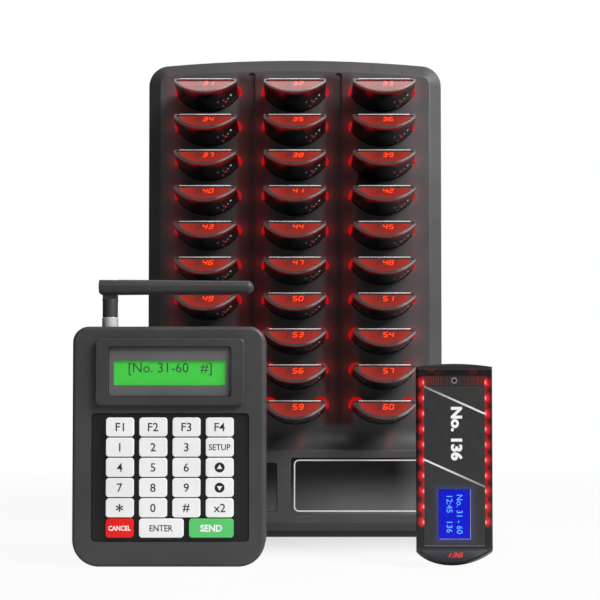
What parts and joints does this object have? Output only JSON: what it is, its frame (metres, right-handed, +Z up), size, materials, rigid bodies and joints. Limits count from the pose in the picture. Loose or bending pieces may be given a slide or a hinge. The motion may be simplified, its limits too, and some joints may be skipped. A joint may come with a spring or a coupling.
{
  "type": "guest pager system",
  "caption": "Guest pager set: upright charger rack with docked pagers in slots, keypad transmitter with swivel antenna, and a loose pager.",
  "frame": {"origin": "centre of the charger rack's underside, on the surface it stands on", "axes": "+Z up, +X to the right seen from the front, +Y towards the back"},
  "size_m": [0.3108, 0.3273, 0.4405],
  "materials": {
    "rack_plastic": "satin moulded",
    "rack_cover_plastic": "fine texture",
    "notice_gloss": "gloss with a silver border line",
    "circuit_board": "solder mask",
    "contact_metal": "gold plated",
    "foot_rubber": "matt",
    "pager_smoke": "smoky translucent, gloss",
    "tx_plastic": "satin moulded",
    "hood_plastic": "satin moulded",
    "bezel_grey": "satin",
    "lcd_green": "backlit",
    "lcd_blue": "backlit",
    "keypad_black": "satin",
    "key_white": "satin",
    "key_red": "satin",
    "key_green": "satin",
    "silicone": "matt",
    "connector_metal": "nickel plated",
    "antenna_rubber": "satin",
    "screw_steel": "black zinc",
    "jack_plastic": "moulded",
    "label_print": "printed film",
    "led_red": "lit",
    "cell_wrap": "film",
    "nose_smoke": "smoky translucent, gloss"
  },
  "bodies": {
    "root": {"rack_front_shell": "rack_plastic", "rack_rear_cover": "rack_cover_plastic", "rack_chin_plates": "notice_gloss", "charging_board": "circuit_board", "charging_contacts": "contact_metal", "rack_foot_pad": "foot_rubber", "tx_front_case": "tx_plastic", "tx_rear_case": "tx_plastic", "display_hood": "hood_plastic", "display_bezel": "bezel_grey", "lcd_module": "lcd_green", "keypad_plate": "keypad_black", "dome_sheet": "silicone", "main_board": "circuit_board", "antenna_connector": "connector_metal", "case_screws": "screw_steel", "dc_jacks": "jack_plastic", "pager_belly_shell": "pager_smoke", "pager_face_plate": "pager_smoke", "pager_label": "label_print", "pager_lcd": "lcd_blue", "pager_board": "circuit_board", "pager_leds": "led_red", "pager_battery": "cell_wrap", "pager_nose_window": "nose_smoke"},
    "pager_row_01": {"pager_row_01": "pager_smoke"},
    "pager_row_02": {"pager_row_02": "pager_smoke"},
    "pager_row_03": {"pager_row_03": "pager_smoke"},
    "pager_row_04": {"pager_row_04": "pager_smoke"},
    "pager_row_05": {"pager_row_05": "pager_smoke"},
    "pager_row_06": {"pager_row_06": "pager_smoke"},
    "pager_row_07": {"pager_row_07": "pager_smoke"},
    "pager_row_08": {"pager_row_08": "pager_smoke"},
    "pager_row_09": {"pager_row_09": "pager_smoke"},
    "pager_row_10": {"pager_row_10": "pager_smoke"},
    "key_f1": {"key_f1": "key_white"},
    "key_f2": {"key_f2": "key_white"},
    "key_f3": {"key_f3": "key_white"},
    "key_f4": {"key_f4": "key_white"},
    "key_1": {"key_1": "key_white"},
    "key_2": {"key_2": "key_white"},
    "key_3": {"key_3": "key_white"},
    "key_setup": {"key_setup": "key_white"},
    "key_4": {"key_4": "key_white"},
    "key_5": {"key_5": "key_white"},
    "key_6": {"key_6": "key_white"},
    "key_up": {"key_up": "key_white"},
    "key_7": {"key_7": "key_white"},
    "key_8": {"key_8": "key_white"},
    "key_9": {"key_9": "key_white"},
    "key_down": {"key_down": "key_white"},
    "key_star": {"key_star": "key_white"},
    "key_0": {"key_0": "key_white"},
    "key_hash": {"key_hash": "key_white"},
    "key_x2": {"key_x2": "key_white"},
    "key_cancel": {"key_cancel": "key_red"},
    "key_enter": {"key_enter": "key_white"},
    "key_send": {"key_send": "key_green"},
    "antenna_knuckle": {"antenna_knuckle": "antenna_rubber"},
    "antenna_arm": {"antenna_arm": "antenna_rubber"}
  },
  "joints": [
    {"name": "pager_row_01_slide", "type": "slide", "parent": "root", "child": "pager_row_01", "axis": [0, -0.9945, 0.1045], "range_m": [0, 0.105]},
    {"name": "pager_row_02_slide", "type": "slide", "parent": "root", "child": "pager_row_02", "axis": [0, -0.9945, 0.1045], "range_m": [0, 0.105]},
    {"name": "pager_row_03_slide", "type": "slide", "parent": "root", "child": "pager_row_03", "axis": [0, -0.9945, 0.1045], "range_m": [0, 0.105]},
    {"name": "pager_row_04_slide", "type": "slide", "parent": "root", "child": "pager_row_04", "axis": [0, -0.9945, 0.1045], "range_m": [0, 0.105]},
    {"name": "pager_row_05_slide", "type": "slide", "parent": "root", "child": "pager_row_05", "axis": [0, -0.9945, 0.1045], "range_m": [0, 0.105]},
    {"name": "pager_row_06_slide", "type": "slide", "parent": "root", "child": "pager_row_06", "axis": [0, -0.9945, 0.1045], "range_m": [0, 0.105]},
    {"name": "pager_row_07_slide", "type": "slide", "parent": "root", "child": "pager_row_07", "axis": [0, -0.9945, 0.1045], "range_m": [0, 0.105]},
    {"name": "pager_row_08_slide", "type": "slide", "parent": "root", "child": "pager_row_08", "axis": [0, -0.9945, 0.1045], "range_m": [0, 0.105]},
    {"name": "pager_row_09_slide", "type": "slide", "parent": "root", "child": "pager_row_09", "axis": [0, -0.9945, 0.1045], "range_m": [0, 0.105]},
    {"name": "pager_row_10_slide", "type": "slide", "parent": "root", "child": "pager_row_10", "axis": [0, -0.9945, 0.1045], "range_m": [0, 0.105]},
    {"name": "key_f1_press", "type": "slide", "parent": "root", "child": "key_f1", "axis": [0, 1, 0], "range_m": [0, 0.0008], "stiffness_N_per_m": 800},
    {"name": "key_f2_press", "type": "slide", "parent": "root", "child": "key_f2", "axis": [0, 1, 0], "range_m": [0, 0.0008], "stiffness_N_per_m": 800},
    {"name": "key_f3_press", "type": "slide", "parent": "root", "child": "key_f3", "axis": [0, 1, 0], "range_m": [0, 0.0008], "stiffness_N_per_m": 800},
    {"name": "key_f4_press", "type": "slide", "parent": "root", "child": "key_f4", "axis": [0, 1, 0], "range_m": [0, 0.0008], "stiffness_N_per_m": 800},
    {"name": "key_1_press", "type": "slide", "parent": "root", "child": "key_1", "axis": [0, 1, 0], "range_m": [0, 0.0008], "stiffness_N_per_m": 800},
    {"name": "key_2_press", "type": "slide", "parent": "root", "child": "key_2", "axis": [0, 1, 0], "range_m": [0, 0.0008], "stiffness_N_per_m": 800},
    {"name": "key_3_press", "type": "slide", "parent": "root", "child": "key_3", "axis": [0, 1, 0], "range_m": [0, 0.0008], "stiffness_N_per_m": 800},
    {"name": "key_setup_press", "type": "slide", "parent": "root", "child": "key_setup", "axis": [0, 1, 0], "range_m": [0, 0.0008], "stiffness_N_per_m": 800},
    {"name": "key_4_press", "type": "slide", "parent": "root", "child": "key_4", "axis": [0, 1, 0], "range_m": [0, 0.0008], "stiffness_N_per_m": 800},
    {"name": "key_5_press", "type": "slide", "parent": "root", "child": "key_5", "axis": [0, 1, 0], "range_m": [0, 0.0008], "stiffness_N_per_m": 800},
    {"name": "key_6_press", "type": "slide", "parent": "root", "child": "key_6", "axis": [0, 1, 0], "range_m": [0, 0.0008], "stiffness_N_per_m": 800},
    {"name": "key_up_press", "type": "slide", "parent": "root", "child": "key_up", "axis": [0, 1, 0], "range_m": [0, 0.0008], "stiffness_N_per_m": 800},
    {"name": "key_7_press", "type": "slide", "parent": "root", "child": "key_7", "axis": [0, 1, 0], "range_m": [0, 0.0008], "stiffness_N_per_m": 800},
    {"name": "key_8_press", "type": "slide", "parent": "root", "child": "key_8", "axis": [0, 1, 0], "range_m": [0, 0.0008], "stiffness_N_per_m": 800},
    {"name": "key_9_press", "type": "slide", "parent": "root", "child": "key_9", "axis": [0, 1, 0], "range_m": [0, 0.0008], "stiffness_N_per_m": 800},
    {"name": "key_down_press", "type": "slide", "parent": "root", "child": "key_down", "axis": [0, 1, 0], "range_m": [0, 0.0008], "stiffness_N_per_m": 800},
    {"name": "key_star_press", "type": "slide", "parent": "root", "child": "key_star", "axis": [0, 1, 0], "range_m": [0, 0.0008], "stiffness_N_per_m": 800},
    {"name": "key_0_press", "type": "slide", "parent": "root", "child": "key_0", "axis": [0, 1, 0], "range_m": [0, 0.0008], "stiffness_N_per_m": 800},
    {"name": "key_hash_press", "type": "slide", "parent": "root", "child": "key_hash", "axis": [0, 1, 0], "range_m": [0, 0.0008], "stiffness_N_per_m": 800},
    {"name": "key_x2_press", "type": "slide", "parent": "root", "child": "key_x2", "axis": [0, 1, 0], "range_m": [0, 0.0008], "stiffness_N_per_m": 800},
    {"name": "key_cancel_press", "type": "slide", "parent": "root", "child": "key_cancel", "axis": [0, 1, 0], "range_m": [0, 0.0008], "stiffness_N_per_m": 800},
    {"name": "key_enter_press", "type": "slide", "parent": "root", "child": "key_enter", "axis": [0, 1, 0], "range_m": [0, 0.0008], "stiffness_N_per_m": 800},
    {"name": "key_send_press", "type": "slide", "parent": "root", "child": "key_send", "axis": [0, 1, 0], "range_m": [0, 0.0008], "stiffness_N_per_m": 800},
    {"name": "antenna_turn", "type": "hinge", "parent": "root", "child": "antenna_knuckle", "pos_m": [-0.1388, -0.247, 0.1862], "axis": [0, 0, 1], "continuous": true},
    {"name": "antenna_tilt", "type": "hinge", "parent": "antenna_knuckle", "child": "antenna_arm", "pos_m": [-0.1388, -0.247, 0.20895], "axis": [0, -1, 0], "range_deg": [0, 90]}
  ]
}
